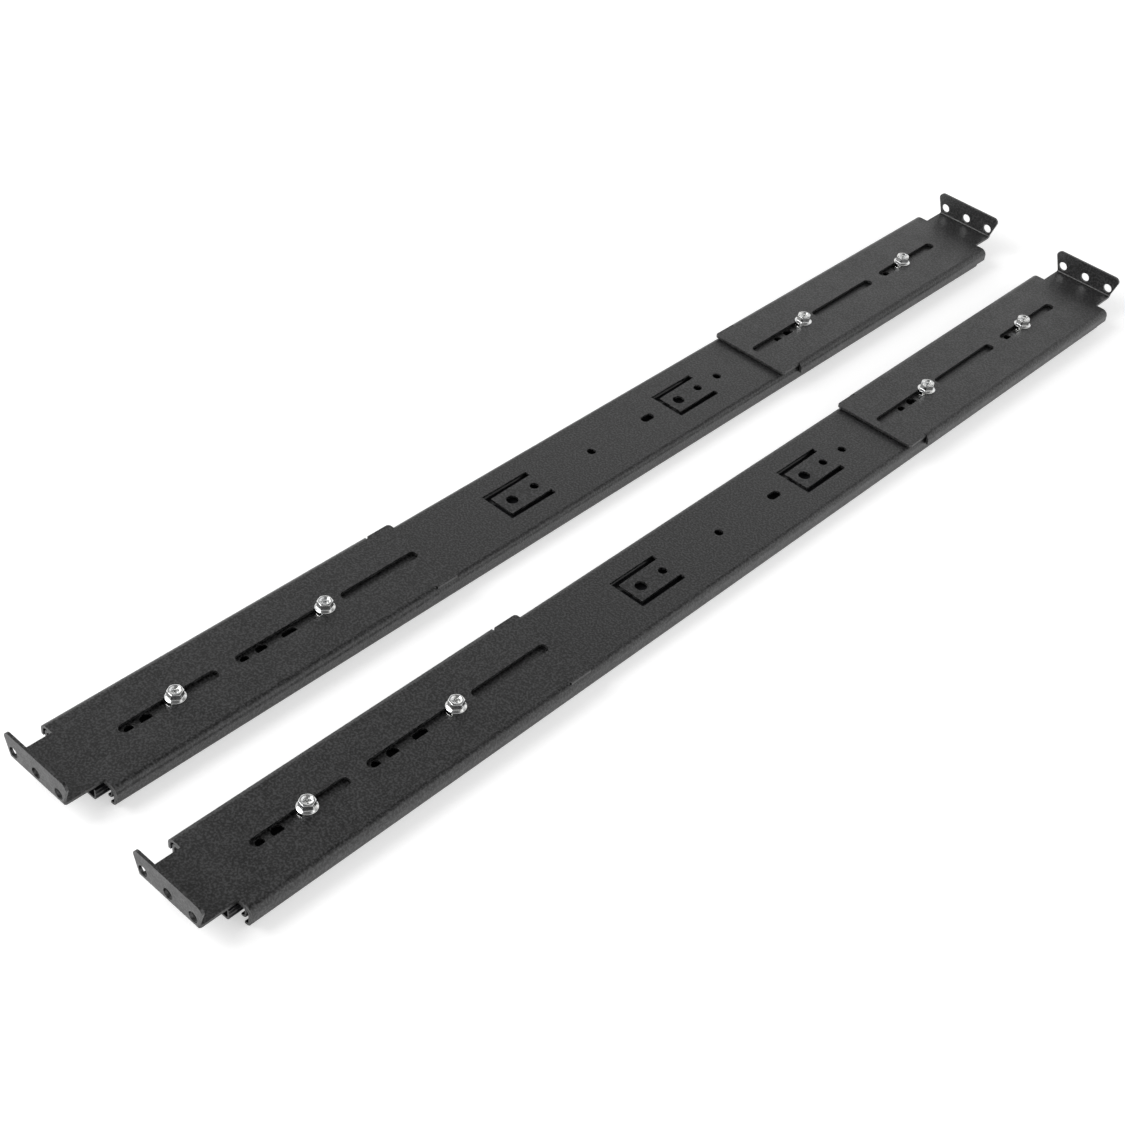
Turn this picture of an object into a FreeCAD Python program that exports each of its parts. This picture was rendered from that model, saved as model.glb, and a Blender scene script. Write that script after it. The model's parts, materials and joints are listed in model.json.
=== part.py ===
"""A pair of depth-adjustable sliding rails for a server rack.

Both rails are the same hand and lie side by side on their chassis faces, outer
face up. Each rail is a telescopic ball slide of three members under two
slotted ear brackets.

Frame: +X across the rails, +Y from the front ears to the rear ears, +Z up.
The origin is the centre of the footprint, on the surface the rails lie on.
Inside one rail x is 0 on its centre line. Units are millimetres.
"""
import FreeCAD, Part
import math
import os

Vector = FreeCAD.Vector
UP = Vector(0, 0, 1)
ALONG = Vector(0, 1, 0)

# ---------------------------------------------------------------- the pair
RAIL_PITCH = 88.0           # centre line to centre line of the two rails
EAR_TO_EAR = 702.0          # outer face of the front ear to that of the rear ear

# ---------------------------------------------------------------- ball slide
SLIDE_LENGTH = 660.4        # outer member
SLIDE_WIDTH = 50.0
SLIDE_DEPTH = 10.5
SLIDE_INSET = 21.2          # front ear face to the outer member's front end
OUTER_SHEET = 1.4
MID_SHEET = 1.2
INNER_SHEET = 1.2
BALL_DIAMETER = 3.175
RACE_CLEARANCE = 0.06       # ball to raceway, radial
CONTACT_CLEARANCE = 0.04    # ball to the crown of the next member
OUTER_LIP = 0.75            # flat past the lower raceway, outer member
MID_LIP = 0.6
WEB_GAP = 0.6               # between neighbouring webs
MID_LIFT = 0.3              # intermediate member above the resting surface
INNER_LIFT = 0.1            # inner member above the resting surface
INNER_GROOVE = 0.35         # depth of the inner member's rolled grooves
INNER_BEND = 1.2            # inside bend radius of the inner member
DISH_DEPTH = 1.7            # sunk middle of the intermediate member's web
DISH_HALF_WIDTH = 12.0
DISH_SLOPE = 2.0
DISH_BEND = 1.0
MID_INSET = 1.5             # intermediate member behind the outer one's front
INNER_REACH = 4.0           # inner member ahead of the outer one's front
MEMBER_TRAVEL = 330.0       # each of the two moving members

# ---------------------------------------------------------------- ball cages
CAGE_SHEET = 0.8
CAGE_EDGE_GAP = 0.45        # cage edges to the member's inside faces
CAGE_POCKET_CLEARANCE = 0.06
CAGE_END_MARGIN = 2.5
BALL_PITCH = 22.0

# ---------------------------------------------------------------- outer web
WEB_HOLE_D = 4.8
WEB_BIG_HOLE_D = 6.5
WEB_OBROUND_LENGTH = 8.6
WEB_HOLES = (26.3, 91.4, 283.1, 326.9, 414.7, 431.5, 487.3, 595.1)
WEB_BIG_HOLES = (35.8, 101.6, 266.9, 398.4, 497.2)
WEB_OBROUNDS = (118.1, 372.1)
LANCE_STARTS = (255.8, 387.8)
LANCE_LENGTH = 32.0
LANCE_HALF_WIDTH = 11.0
LANCE_SLIT = 3.3            # the two long slits beside the tab
LANCE_END_SLIT = 3.4        # the slit across the tab's tip
LANCE_DROP = 0.7            # how far the tab's tip is set down

# ---------------------------------------------------------------- brackets
BRACKET_SHEET = 1.5
BRACKET_RISE = 0.8          # web of the slide to the underside of a bracket
BRACKET_SIDE_GAP = 0.5
BRACKET_BEND = 2.3          # inside radius of the side flanges
BRACKET_FLANGE = 7.0        # from the bracket's top to the flange's lower edge
BRACKET_BODY = 204.5        # shoulder to inner end, along the rail
BRACKET_TAB = 15.0          # inner end of the web, past the flanges
BRACKET_TAB_HALF_WIDTH = 25.0
BRACKET_TAB_CORNER = 2.0
RELIEF_R = 0.8
FLANGE_CORNER = 3.5         # lower corner of a side flange at its inner end
FRONT_TONGUE = 20.8         # ear face to shoulder
REAR_TONGUE = 16.5
SLOT_WIDTH = 5.6
SLOT_SPANS = ((21.7, 76.2), (87.0, 143.2), (151.0, 199.5))   # from the shoulder
EAR_BEND = 1.0              # inside radius of the ear's fold
EAR_HEIGHT = 13.4           # above the bracket's top
EAR_FOOT_HALF_WIDTH = 18.6
EAR_TOP_HALF_WIDTH = 21.7
EAR_FLARE_TOP = 10.3        # height where the flare ends
EAR_CORNER = 3.4
EAR_HOLE_D = 5.5
EAR_HOLE_PITCH = 15.875
EAR_HOLE_HEIGHT = 4.4       # above the bracket's top

# ---------------------------------------------------------------- fixing screws
FRONT_SCREWS = (52.0, 140.0)        # from the outer member's front end
REAR_SCREWS = (510.5, 610.3)
SCREW_D = 5.0
SCREW_FLANGE_D = 9.9
SCREW_FLANGE_HEIGHT = 1.3
SCREW_FLANGE_RIM = 0.7
SCREW_ACROSS_FLATS = 7.0
SCREW_HEAD_HEIGHT = 4.6
SCREW_CHAMFER = 0.5
SCREW_DISH_D = 5.2
SCREW_DISH_DEPTH = 0.7
SCREW_CROSS_WIDTH = 0.9
SCREW_CROSS_LENGTH = 3.6
SCREW_CROSS_DEPTH = 1.6
SEAT_GAP = 0.05             # faces that rub when a bracket is shifted
THREAD_GAP = 0.05
NUT_COLLAR_D = 10.0
NUT_BODY_D = 7.0
NUT_REACH = 1.5             # below the outer member's web
SCREW_END_REACH = 0.3       # past the nut

# ---------------------------------------------------------------- buffers, stops
REAR_BUFFER_LENGTH = 6.0
REAR_BUFFER_HALF_WIDTH = 9.0
MID_BUFFER_LENGTH = 5.0
MID_BUFFER_HALF_WIDTH = 8.0
BUFFER_END_MARGIN = 1.0
BUFFER_GAP = 0.3
BUFFER_PEG_D = 4.0
STOP_X = -7.0               # on the side away from the lever's catch
STOP_D = 4.0
STOP_SHANK_D = 2.8
STOP_HEAD_D = 4.8
STOP_HEAD_HEIGHT = 0.35
STOP_INSET = 18.0           # outer stop stud behind the outer member's front
STOP_TIP_GAP = 0.4          # stud end to the dish or the lances
STOP_GAP = 0.3              # stud to stud at full reach

# ---------------------------------------------------------------- release lever
LEVER_PIVOT = 388.0         # from the outer member's front end
LEVER_NOSE_ARM = 38.0       # pivot to the front of the nose
LEVER_THUMB_ARM = 72.0      # pivot to the front of the thumb pad
LEVER_THUMB_LENGTH = 9.0
LEVER_SHEET = 1.6
LEVER_WIDTH = 7.0
LEVER_NOSE_REACH = 7.5
LEVER_NOSE_LENGTH = 6.0
LEVER_GAP = 0.2             # under the lever, over it and beside its stop
LEVER_STOP_ARM = 18.0
LEVER_STOP_D = 3.0
LEVER_TAIL_D = 3.2
PIVOT_D = 4.0
PIVOT_HEAD_D = 6.4
PIVOT_HEAD_HEIGHT = 0.7
PIVOT_CLEARANCE = 0.05
SPRING_WIRE_D = 0.8
SPRING_SPREAD = 14.0        # degrees, each leg from the rail's direction
SPRING_LEG = 8.0
SPRING_HOLD = 6.0           # along a leg, to where its post holds it
SPRING_GAP = 0.05
SPRING_POST_D = 1.8
CATCH_LENGTH = 11.0
CATCH_NEAR_X = 4.0
CATCH_FAR_X = 9.4
CATCH_BITE = 0.7            # catch reaches this far below the lever's top
CATCH_GAP = 0.3             # nose to catch at full reach
CATCH_RIVET_D = 2.8

# ---------------------------------------------------------------- chassis holes
CHASSIS_HOLE_D = 4.5
CHASSIS_HOLE_FIRST = 36.0   # from the outer member's front end
CHASSIS_HOLE_PITCH = 190.0
CHASSIS_HOLE_COUNT = 4

# ---------------------------------------------------------------- worked out
BALL_R = BALL_DIAMETER / 2
RACE_R = BALL_R + RACE_CLEARANCE
FRONT_EAR_Y = -EAR_TO_EAR / 2
REAR_EAR_Y = EAR_TO_EAR / 2
OUTER_FRONT = FRONT_EAR_Y + SLIDE_INSET
OUTER_REAR = OUTER_FRONT + SLIDE_LENGTH
MID_FRONT = OUTER_FRONT + MID_INSET
MID_REAR = OUTER_REAR - BUFFER_END_MARGIN - REAR_BUFFER_LENGTH - BUFFER_GAP
INNER_FRONT = OUTER_FRONT - INNER_REACH
INNER_REAR = MID_REAR - BUFFER_END_MARGIN - MID_BUFFER_LENGTH - BUFFER_GAP

OUTER_WEB_UNDER = SLIDE_DEPTH - OUTER_SHEET
OUTER_ROW_X = SLIDE_WIDTH / 2 - OUTER_SHEET - RACE_R
OUTER_ROWS_Z = (OUTER_SHEET + RACE_R, OUTER_WEB_UNDER - RACE_R)
MID_TOP = OUTER_WEB_UNDER - WEB_GAP
MID_WEB_UNDER = MID_TOP - MID_SHEET
DISH_TOP = MID_TOP - DISH_DEPTH
DISH_UNDER = DISH_TOP - MID_SHEET
INNER_ROWS_Z = (MID_LIFT + MID_SHEET + RACE_R, MID_WEB_UNDER - RACE_R)
MID_CROWN_R = RACE_R + MID_SHEET
ROW_DROP = OUTER_ROWS_Z[1] - INNER_ROWS_Z[1]
INNER_ROW_X = OUTER_ROW_X - math.sqrt((BALL_R + CONTACT_CLEARANCE + MID_CROWN_R) ** 2 - ROW_DROP ** 2)
MID_HALF_WIDTH = INNER_ROW_X + MID_CROWN_R
INNER_HALF_WIDTH = INNER_ROW_X - RACE_R + INNER_GROOVE
INNER_WEB_TOP = INNER_LIFT + INNER_SHEET
INNER_FLANGE_TOP = MID_WEB_UNDER - WEB_GAP

BRACKET_UNDER = SLIDE_DEPTH + BRACKET_RISE
BRACKET_TOP = BRACKET_UNDER + BRACKET_SHEET
BRACKET_HALF_WIDTH = SLIDE_WIDTH / 2 + BRACKET_SIDE_GAP + BRACKET_SHEET
LEVER_UNDER = INNER_WEB_TOP + LEVER_GAP
LEVER_TOP = LEVER_UNDER + LEVER_SHEET
SPRING_Z = LEVER_TOP + LEVER_GAP + SPRING_WIRE_D / 2
SPRING_TOP = LEVER_TOP + LEVER_GAP + SPRING_WIRE_D
PIVOT_Y = OUTER_FRONT + LEVER_PIVOT
CATCH_X = (CATCH_NEAR_X + CATCH_FAR_X) / 2
CATCH_REAR = PIVOT_Y - LEVER_NOSE_ARM - MEMBER_TRAVEL - CATCH_GAP
CATCH_Y = CATCH_REAR - CATCH_LENGTH / 2
OUTER_STOP_Y = OUTER_FRONT + STOP_INSET
MID_STOP_Y = OUTER_STOP_Y + MEMBER_TRAVEL + STOP_D + STOP_GAP


# ================================================================ helpers
def offset_bend(corner, before, after, radius):
    """Give the tangent points, centre and turn of a bend on a strip's middle line."""
    into = (corner - before).normalize()
    out = (after - corner).normalize()
    cross = into.x * out.z - into.z * out.x
    turn = math.atan2(cross, into.dot(out))
    reach = radius * math.tan(abs(turn) / 2)
    start = corner - into * reach
    end = corner + out * reach
    side = 1 if turn > 0 else -1
    normal = Vector(-into.z, 0, into.x) * side
    return start, end, start + normal * radius, side


def strip_side(points, radii, shift):
    """Edges of one side of a bent strip, `shift` to the left of its middle line."""
    edges = []
    first = (points[1] - points[0]).normalize()
    here = points[0] + Vector(-first.z, 0, first.x) * shift
    for index, radius in enumerate(radii, start=1):
        start, end, centre, side = offset_bend(points[index], points[index - 1], points[index + 1], radius)
        local = radius - side * shift
        enter = centre + (start - centre).normalize() * local
        leave = centre + (end - centre).normalize() * local
        middle = centre + ((start - centre).normalize() + (end - centre).normalize()).normalize() * local
        edges.append(Part.LineSegment(here, enter).toShape())
        edges.append(Part.Arc(enter, middle, leave).toShape())
        here = leave
    last = (points[-1] - points[-2]).normalize()
    edges.append(Part.LineSegment(here, points[-1] + Vector(-last.z, 0, last.x) * shift).toShape())
    return edges


def bent_strip(points, radii, sheet):
    """Closed face of a bent sheet from its middle line, given in the XZ plane."""
    left = strip_side(points, radii, sheet / 2)
    right = strip_side(points, radii, -sheet / 2)
    caps = [Part.LineSegment(left[0].Vertexes[0].Point, right[0].Vertexes[0].Point).toShape(),
            Part.LineSegment(left[-1].Vertexes[-1].Point, right[-1].Vertexes[-1].Point).toShape()]
    return Part.Face(Part.Wire(Part.__sortEdges__(left + right + caps)))


def mirrored(half):
    """Full middle line from its right half, which ends on or near the centre line."""
    return half + [Vector(-p.x, p.y, p.z) for p in reversed(half)]


def along_rail(face, front, rear):
    """Extrude an XZ section from y = front to y = rear."""
    section = face.copy()
    section.translate(ALONG * front)
    return section.extrude(ALONG * (rear - front))


def block(x0, x1, y0, y1, z0, z1):
    """Box between two corners."""
    return Part.makeBox(x1 - x0, y1 - y0, z1 - z0, Vector(x0, y0, z0))


def upright(diameter, x, y, z0, z1):
    """Vertical cylinder."""
    return Part.makeCylinder(diameter / 2, z1 - z0, Vector(x, y, z0), UP)


def lengthwise(radius, x, z, front, rear):
    """Cylinder along the rail."""
    return Part.makeCylinder(radius, rear - front, Vector(x, front, z), ALONG)


def obround(width, y0, y1, z0, z1, x=0.0):
    """Slot with round ends along the rail; y0 and y1 are its very ends."""
    r = width / 2
    middle = block(x - r, x + r, y0 + r, y1 - r, z0, z1)
    return middle.fuse([upright(width, x, y0 + r, z0, z1), upright(width, x, y1 - r, z0, z1)]).removeSplitter()


def outline_plate(points, direction):
    """Plate from a closed polygon of points."""
    return Part.Face(Part.makePolygon(points + points[:1])).extrude(direction)


def round_edges(shape, radius, chosen):
    """Fillet the edges that `chosen` accepts."""
    return shape.makeFillet(radius, [e for e in shape.Edges if chosen(e)])


# ================================================================ slide members
def outer_member():
    """Channel with two raceway bends a side, lances and the slide's hole row."""
    half = OUTER_SHEET / 2
    side = SLIDE_WIDTH / 2 - half
    line = mirrored([Vector(OUTER_ROW_X - OUTER_LIP, 0, half), Vector(side, 0, half),
                     Vector(side, 0, SLIDE_DEPTH - half)])
    section = bent_strip(line, [RACE_R + half] * 4, OUTER_SHEET)
    member = along_rail(section, OUTER_FRONT, OUTER_REAR)
    low, high = OUTER_WEB_UNDER - OUTER_SHEET, SLIDE_DEPTH + OUTER_SHEET
    lance_windows = [lance_window(OUTER_FRONT + s, low, high) for s in LANCE_STARTS]
    member = member.cut(lance_windows).fuse([lance_tab(OUTER_FRONT + s) for s in LANCE_STARTS])
    holes = [upright(WEB_HOLE_D, 0, OUTER_FRONT + s, low, high) for s in WEB_HOLES]
    holes += [upright(WEB_BIG_HOLE_D, 0, OUTER_FRONT + s, low, high) for s in WEB_BIG_HOLES]
    holes += [obround(WEB_HOLE_D, OUTER_FRONT + s - WEB_OBROUND_LENGTH / 2,
                      OUTER_FRONT + s + WEB_OBROUND_LENGTH / 2, low, high) for s in WEB_OBROUNDS]
    holes += [upright(NUT_BODY_D, 0, OUTER_FRONT + s, low, high) for s in FRONT_SCREWS + REAR_SCREWS]
    holes.append(upright(STOP_SHANK_D, STOP_X, OUTER_STOP_Y, low, high))
    holes.append(upright(BUFFER_PEG_D, 0, rear_buffer_y(), low, high))
    return member.cut(holes).removeSplitter()


def lance_window(start, low, high):
    """Opening of a lance, tab and slits together."""
    return block(-LANCE_HALF_WIDTH, LANCE_HALF_WIDTH, start, start + LANCE_LENGTH, low, high)


def lance_tab(start):
    """Tab left by a lance, with its tip set down, and the web beyond its slits' ends."""
    half = LANCE_HALF_WIDTH - LANCE_SLIT
    tip = start + LANCE_END_SLIT
    root = start + LANCE_LENGTH
    top, under = SLIDE_DEPTH, OUTER_WEB_UNDER
    profile = [Vector(-half, root, top), Vector(-half, tip, top - LANCE_DROP),
               Vector(-half, tip, under - LANCE_DROP), Vector(-half, root, under)]
    return outline_plate(profile, Vector(2 * half, 0, 0))


def intermediate_member():
    """Channel that rolls in the outer member, with a dished web."""
    half = MID_SHEET / 2
    side = MID_HALF_WIDTH - half
    line = mirrored([Vector(INNER_ROW_X - MID_LIP, 0, MID_LIFT + half), Vector(side, 0, MID_LIFT + half),
                     Vector(side, 0, MID_TOP - half), Vector(DISH_HALF_WIDTH + DISH_SLOPE, 0, MID_TOP - half),
                     Vector(DISH_HALF_WIDTH, 0, DISH_TOP - half)])
    bends = [RACE_R + half, RACE_R + half, DISH_BEND + half, DISH_BEND + half]
    member = along_rail(bent_strip(line, bends + bends[::-1], MID_SHEET), MID_FRONT, MID_REAR)
    grooves = [lengthwise(RACE_R, x, OUTER_ROWS_Z[0], MID_FRONT, MID_REAR) for x in (-OUTER_ROW_X, OUTER_ROW_X)]
    low, high = DISH_UNDER - MID_SHEET, DISH_TOP + MID_SHEET
    holes = [upright(STOP_SHANK_D, STOP_X, MID_STOP_Y, low, high),
             upright(BUFFER_PEG_D, 0, mid_buffer_y(), low, high),
             upright(CATCH_RIVET_D, CATCH_X, CATCH_Y, low, high)]
    return member.cut(grooves + holes)


def inner_member():
    """Chassis member, open upwards, with its screw holes and the lever's stop and post."""
    half = INNER_SHEET / 2
    side = INNER_HALF_WIDTH - half
    line = mirrored([Vector(side, 0, INNER_FLANGE_TOP), Vector(side, 0, INNER_LIFT + half)])
    section = bent_strip(line, [INNER_BEND + half] * 2, INNER_SHEET)
    member = along_rail(section, INNER_FRONT, INNER_REAR)
    grooves = [lengthwise(RACE_R, x, z, INNER_FRONT, INNER_REAR)
               for x in (-INNER_ROW_X, INNER_ROW_X) for z in INNER_ROWS_Z]
    low, high = INNER_LIFT - INNER_SHEET, INNER_WEB_TOP + INNER_SHEET
    holes = [upright(CHASSIS_HOLE_D, 0, OUTER_FRONT + CHASSIS_HOLE_FIRST + n * CHASSIS_HOLE_PITCH, low, high)
             for n in range(CHASSIS_HOLE_COUNT)]
    holes.append(upright(PIVOT_D, 0, PIVOT_Y, low, high))
    stop_x = LEVER_WIDTH / 2 + LEVER_GAP + LEVER_STOP_D / 2
    stop = upright(LEVER_STOP_D, stop_x, PIVOT_Y - LEVER_STOP_ARM, INNER_LIFT, LEVER_TOP - LEVER_SHEET / 2)
    post = spring_post(1, INNER_LIFT)
    return member.fuse([stop, post]).cut(grooves + holes)


# ================================================================ ball cages
def cage_span(member_front, member_rear, rider_rear):
    """Ends of a cage at rest: halfway through its travel it stays between both members."""
    front = member_front + MEMBER_TRAVEL / 2 + CAGE_END_MARGIN
    rear = min(member_rear, rider_rear) - MEMBER_TRAVEL / 2 - CAGE_END_MARGIN
    return front, rear


OUTER_CAGE = cage_span(OUTER_FRONT, OUTER_REAR, MID_REAR)
INNER_CAGE = cage_span(MID_FRONT, MID_REAR, INNER_REAR)


def ball_places(span, row_x, rows_z):
    """Ball centres of one cage; the upper rows are half a pitch on from the lower ones."""
    front, rear = span
    count = int((rear - front - BALL_PITCH) // BALL_PITCH)
    first = (front + rear - (count - 0.5) * BALL_PITCH) / 2
    return [Vector(x, first + (n + 0.5 * row) * BALL_PITCH, z)
            for x in (-row_x, row_x) for row, z in enumerate(rows_z) for n in range(count)]


def ball_cage(span, row_x, rows_z, low, high):
    """Two upright strips, one a side, pierced for the balls."""
    front, rear = span
    pocket_r = BALL_R + CAGE_POCKET_CLEARANCE
    strips = []
    for x in (-row_x, row_x):
        strip = block(x - CAGE_SHEET / 2, x + CAGE_SHEET / 2, front, rear, low, high)
        pockets = [Part.makeCylinder(pocket_r, 2 * CAGE_SHEET, p - Vector(CAGE_SHEET, 0, 0), Vector(1, 0, 0))
                   for p in ball_places(span, row_x, rows_z) if p.x * x > 0]
        strips.append(strip.cut(pockets))
    return Part.makeCompound(strips)


def outer_ball_cage():
    """Cage between the outer and the intermediate member."""
    return ball_cage(OUTER_CAGE, OUTER_ROW_X, OUTER_ROWS_Z,
                     OUTER_SHEET + CAGE_EDGE_GAP, OUTER_WEB_UNDER - CAGE_EDGE_GAP)


def inner_ball_cage():
    """Cage between the intermediate and the inner member."""
    return ball_cage(INNER_CAGE, INNER_ROW_X, INNER_ROWS_Z,
                     MID_LIFT + MID_SHEET + CAGE_EDGE_GAP, MID_WEB_UNDER - CAGE_EDGE_GAP)


def balls(span, row_x, rows_z):
    """All balls of one cage."""
    return Part.makeCompound([Part.makeSphere(BALL_R, p) for p in ball_places(span, row_x, rows_z)])


def outer_balls():
    """Balls between the outer and the intermediate member."""
    return balls(OUTER_CAGE, OUTER_ROW_X, OUTER_ROWS_Z)


def inner_balls():
    """Balls between the intermediate and the inner member."""
    return balls(INNER_CAGE, INNER_ROW_X, INNER_ROWS_Z)


# ================================================================ ear brackets
def bracket(tongue):
    """Slotted bracket as the front one: its ear's outer face is at y = 0, its body runs to +y."""
    half = BRACKET_SHEET / 2
    side = BRACKET_HALF_WIDTH - half
    line = mirrored([Vector(side, 0, BRACKET_TOP - BRACKET_FLANGE), Vector(side, 0, BRACKET_TOP - half)])
    section = bent_strip(line, [BRACKET_BEND + half] * 2, BRACKET_SHEET)
    inner_end = tongue + BRACKET_BODY
    flange_end = inner_end - BRACKET_TAB
    lower_edge = BRACKET_TOP - BRACKET_FLANGE
    straight = BRACKET_FLANGE - BRACKET_BEND - BRACKET_SHEET
    body = round_edges(along_rail(section, tongue, flange_end), min(FLANGE_CORNER, 0.9 * straight),
                       lambda e: half < e.BoundBox.XLength < 2 * BRACKET_SHEET
                       and e.BoundBox.YMin > flange_end - half and e.BoundBox.ZMax < lower_edge + half)
    tab = block(-BRACKET_TAB_HALF_WIDTH, BRACKET_TAB_HALF_WIDTH, flange_end, inner_end,
                BRACKET_UNDER, BRACKET_TOP)
    tab = round_edges(tab, BRACKET_TAB_CORNER,
                      lambda e: e.BoundBox.ZLength > BRACKET_SHEET / 2 and e.BoundBox.YMin > inner_end - half)
    body = body.fuse([tab, tongue_and_fold(tongue), ear_plate()]).removeSplitter()
    low, high = BRACKET_UNDER - BRACKET_SHEET, BRACKET_TOP + BRACKET_SHEET
    cuts = [obround(SLOT_WIDTH, tongue + s0, tongue + s1, low, high) for s0, s1 in SLOT_SPANS]
    cuts += [upright(2 * RELIEF_R, x, flange_end, low, high)
             for x in (RELIEF_R / 2 - BRACKET_TAB_HALF_WIDTH, BRACKET_TAB_HALF_WIDTH - RELIEF_R / 2)]
    cuts += [Part.makeCylinder(EAR_HOLE_D / 2, 4 * BRACKET_SHEET,
                               Vector(n * EAR_HOLE_PITCH, -BRACKET_SHEET, BRACKET_TOP + EAR_HOLE_HEIGHT), ALONG)
             for n in (-1, 0, 1)]
    return body.cut(cuts)


def tongue_and_fold(tongue):
    """Narrow web ahead of the shoulder, with the fold that turns it up into the ear."""
    outer_r = EAR_BEND + BRACKET_SHEET
    flat = block(-EAR_FOOT_HALF_WIDTH, EAR_FOOT_HALF_WIDTH, outer_r, tongue, BRACKET_UNDER, BRACKET_TOP)
    axis_point = Vector(-EAR_FOOT_HALF_WIDTH, outer_r, BRACKET_TOP + EAR_BEND)
    across = Vector(1, 0, 0)
    ring = Part.makeCylinder(outer_r, 2 * EAR_FOOT_HALF_WIDTH, axis_point, across)
    ring = ring.cut(Part.makeCylinder(EAR_BEND, 2 * EAR_FOOT_HALF_WIDTH, axis_point, across))
    quarter = block(-EAR_FOOT_HALF_WIDTH, EAR_FOOT_HALF_WIDTH, 0, outer_r, BRACKET_UNDER, BRACKET_TOP + EAR_BEND)
    return flat.fuse(ring.common(quarter))


def ear_plate():
    """Ear with a flared outline and rounded top corners."""
    z0 = BRACKET_TOP + EAR_BEND
    outline = [Vector(-EAR_FOOT_HALF_WIDTH, 0, z0), Vector(EAR_FOOT_HALF_WIDTH, 0, z0),
               Vector(EAR_TOP_HALF_WIDTH, 0, BRACKET_TOP + EAR_FLARE_TOP),
               Vector(EAR_TOP_HALF_WIDTH, 0, BRACKET_TOP + EAR_HEIGHT),
               Vector(-EAR_TOP_HALF_WIDTH, 0, BRACKET_TOP + EAR_HEIGHT),
               Vector(-EAR_TOP_HALF_WIDTH, 0, BRACKET_TOP + EAR_FLARE_TOP)]
    plate = outline_plate(outline, ALONG * BRACKET_SHEET)
    corner = min(EAR_CORNER, 0.98 * (EAR_HEIGHT - EAR_FLARE_TOP))
    top = BRACKET_TOP + EAR_HEIGHT
    return round_edges(plate, corner,
                       lambda e: e.BoundBox.YLength > BRACKET_SHEET / 2 and e.BoundBox.ZMin > top - EAR_BEND)


def front_bracket():
    """Bracket at the front ear."""
    shape = bracket(FRONT_TONGUE)
    shape.translate(ALONG * FRONT_EAR_Y)
    return shape


def rear_bracket():
    """The same bracket turned round at the rear ear, with a shorter tongue."""
    shape = bracket(REAR_TONGUE)
    shape.rotate(Vector(0, 0, 0), UP, 180)
    shape.translate(ALONG * REAR_EAR_Y)
    return shape


# ================================================================ fixing screws
def hex_prism(across_flats, y, z0, z1):
    """Upright hexagon with two corners across the rail."""
    r = across_flats / math.sqrt(3)
    corners = [Vector(r * math.cos(math.radians(60 * n)), y + r * math.sin(math.radians(60 * n)), z0)
               for n in range(6)]
    return outline_plate(corners, UP * (z1 - z0))


def screw(y):
    """Flanged hexagon screw with a dished, cross-cut top."""
    seat = BRACKET_TOP + SEAT_GAP
    top = seat + SCREW_HEAD_HEIGHT
    shank = upright(SCREW_D, 0, y, OUTER_WEB_UNDER - NUT_REACH - SCREW_END_REACH, seat)
    rim = upright(SCREW_FLANGE_D, 0, y, seat, seat + SCREW_FLANGE_RIM)
    cone = Part.makeCone(SCREW_FLANGE_D / 2, SCREW_ACROSS_FLATS / 2, SCREW_FLANGE_HEIGHT - SCREW_FLANGE_RIM,
                         Vector(0, y, seat + SCREW_FLANGE_RIM), UP)
    head = hex_prism(SCREW_ACROSS_FLATS, y, seat, top)
    reach = SCREW_ACROSS_FLATS / math.sqrt(3)
    crown = Part.makeCone(reach + SCREW_HEAD_HEIGHT, reach - SCREW_CHAMFER, SCREW_HEAD_HEIGHT + SCREW_CHAMFER,
                          Vector(0, y, seat - SCREW_CHAMFER), UP)
    head = head.common(crown)
    dish = Part.makeCone(SCREW_DISH_D / 2 - SCREW_DISH_DEPTH, SCREW_DISH_D / 2, SCREW_DISH_DEPTH,
                         Vector(0, y, top - SCREW_DISH_DEPTH), UP)
    long, wide = SCREW_CROSS_LENGTH / 2, SCREW_CROSS_WIDTH / 2
    cross = [block(-long, long, y - wide, y + wide, top - SCREW_CROSS_DEPTH, top),
             block(-wide, wide, y - long, y + long, top - SCREW_CROSS_DEPTH, top)]
    return shank.fuse([rim, cone, head]).cut([dish] + cross).removeSplitter()


def clinch_nut(y):
    """Threaded nut pressed into the outer member's web; the bracket rides on its collar."""
    collar = upright(NUT_COLLAR_D, 0, y, SLIDE_DEPTH, BRACKET_UNDER - SEAT_GAP)
    body = upright(NUT_BODY_D, 0, y, OUTER_WEB_UNDER - NUT_REACH, SLIDE_DEPTH)
    bore = upright(SCREW_D + 2 * THREAD_GAP, 0, y, OUTER_WEB_UNDER - NUT_REACH, BRACKET_UNDER)
    return collar.fuse(body).cut(bore)


def front_screws():
    """Screws that clamp the front bracket."""
    return Part.makeCompound([screw(OUTER_FRONT + s) for s in FRONT_SCREWS])


def rear_screws():
    """Screws that clamp the rear bracket."""
    return Part.makeCompound([screw(OUTER_FRONT + s) for s in REAR_SCREWS])


def front_clinch_nuts():
    """Nuts of the front bracket's screws."""
    return Part.makeCompound([clinch_nut(OUTER_FRONT + s) for s in FRONT_SCREWS])


def rear_clinch_nuts():
    """Nuts of the rear bracket's screws."""
    return Part.makeCompound([clinch_nut(OUTER_FRONT + s) for s in REAR_SCREWS])


# ================================================================ buffers, stops
def rear_buffer_y():
    """Middle of the rear buffer along the rail."""
    return OUTER_REAR - BUFFER_END_MARGIN - REAR_BUFFER_LENGTH / 2


def mid_buffer_y():
    """Middle of the intermediate member's buffer along the rail."""
    return MID_REAR - BUFFER_END_MARGIN - MID_BUFFER_LENGTH / 2


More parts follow.
